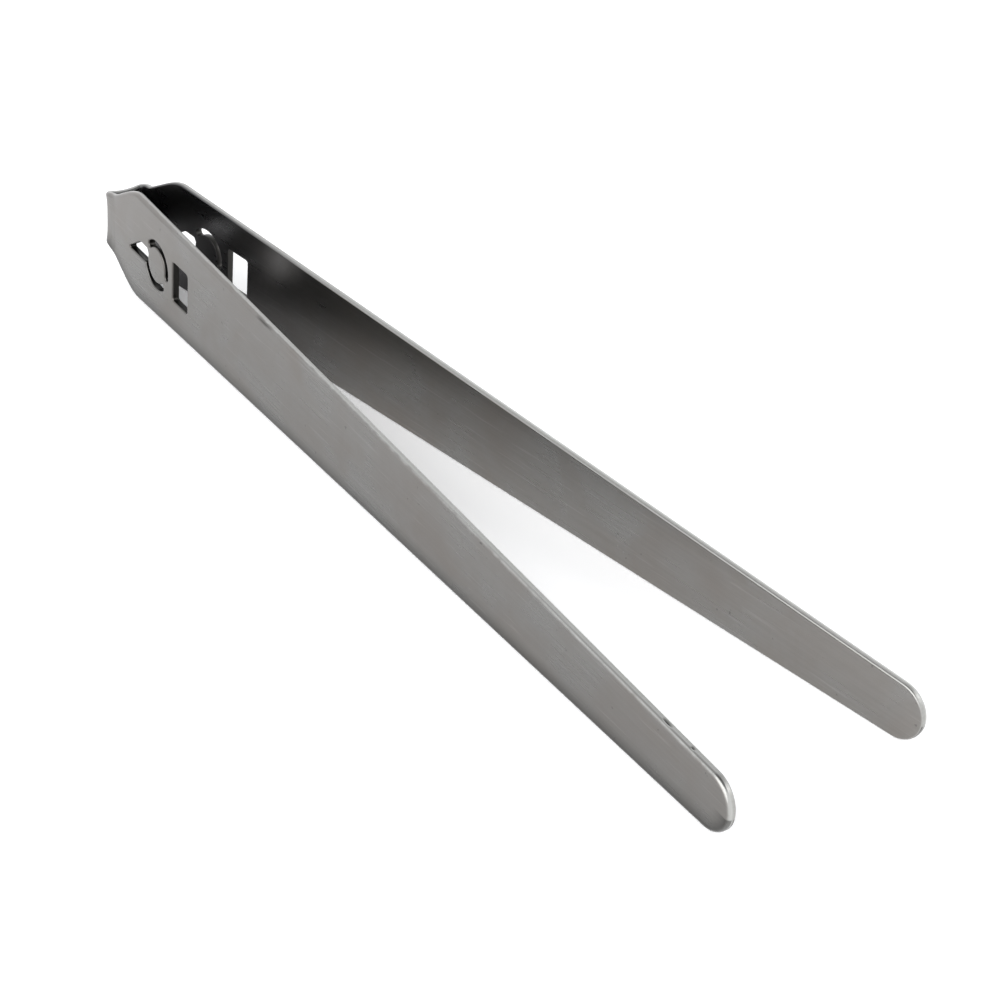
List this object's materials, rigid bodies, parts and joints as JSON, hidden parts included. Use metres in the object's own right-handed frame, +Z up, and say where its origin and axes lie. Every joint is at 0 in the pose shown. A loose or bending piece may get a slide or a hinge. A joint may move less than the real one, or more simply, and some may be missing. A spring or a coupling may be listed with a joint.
{
  "type": "kitchen tongs",
  "caption": "Spring tongs bent from one satin steel strip: a narrow U head and flat tapering blades with round tips, each with a window and a disc cut-out.",
  "frame": {"origin": "middle of the flat outer face of the spring back", "axes": "+X from the head to the tips, +Y to the left blade, +Z up across the width of the blades"},
  "size_m": [0.2713, 0.0542, 0.0304],
  "materials": {
    "satin_steel": "satin, grain along the strip"
  },
  "bodies": {
    "spring_back": {"spring_back": "satin_steel"},
    "left_blade": {"left_blade": "satin_steel"},
    "right_blade": {"right_blade": "satin_steel"}
  },
  "joints": [
    {"name": "left_squeeze", "type": "hinge", "parent": "spring_back", "child": "left_blade", "pos_m": [0.00284, 0.00519, 0], "axis": [0, 0, -1], "range_deg": [0, 5.31], "stiffness_Nm_per_rad": 20},
    {"name": "right_squeeze", "type": "hinge", "parent": "spring_back", "child": "right_blade", "pos_m": [0.00284, -0.00519, 0], "axis": [0, 0, 1], "range_deg": [0, 5.31], "stiffness_Nm_per_rad": 20}
  ],
  "couplings": [
    {"joint": "right_squeeze", "follows": "left_squeeze", "ratio": 1}
  ]
}
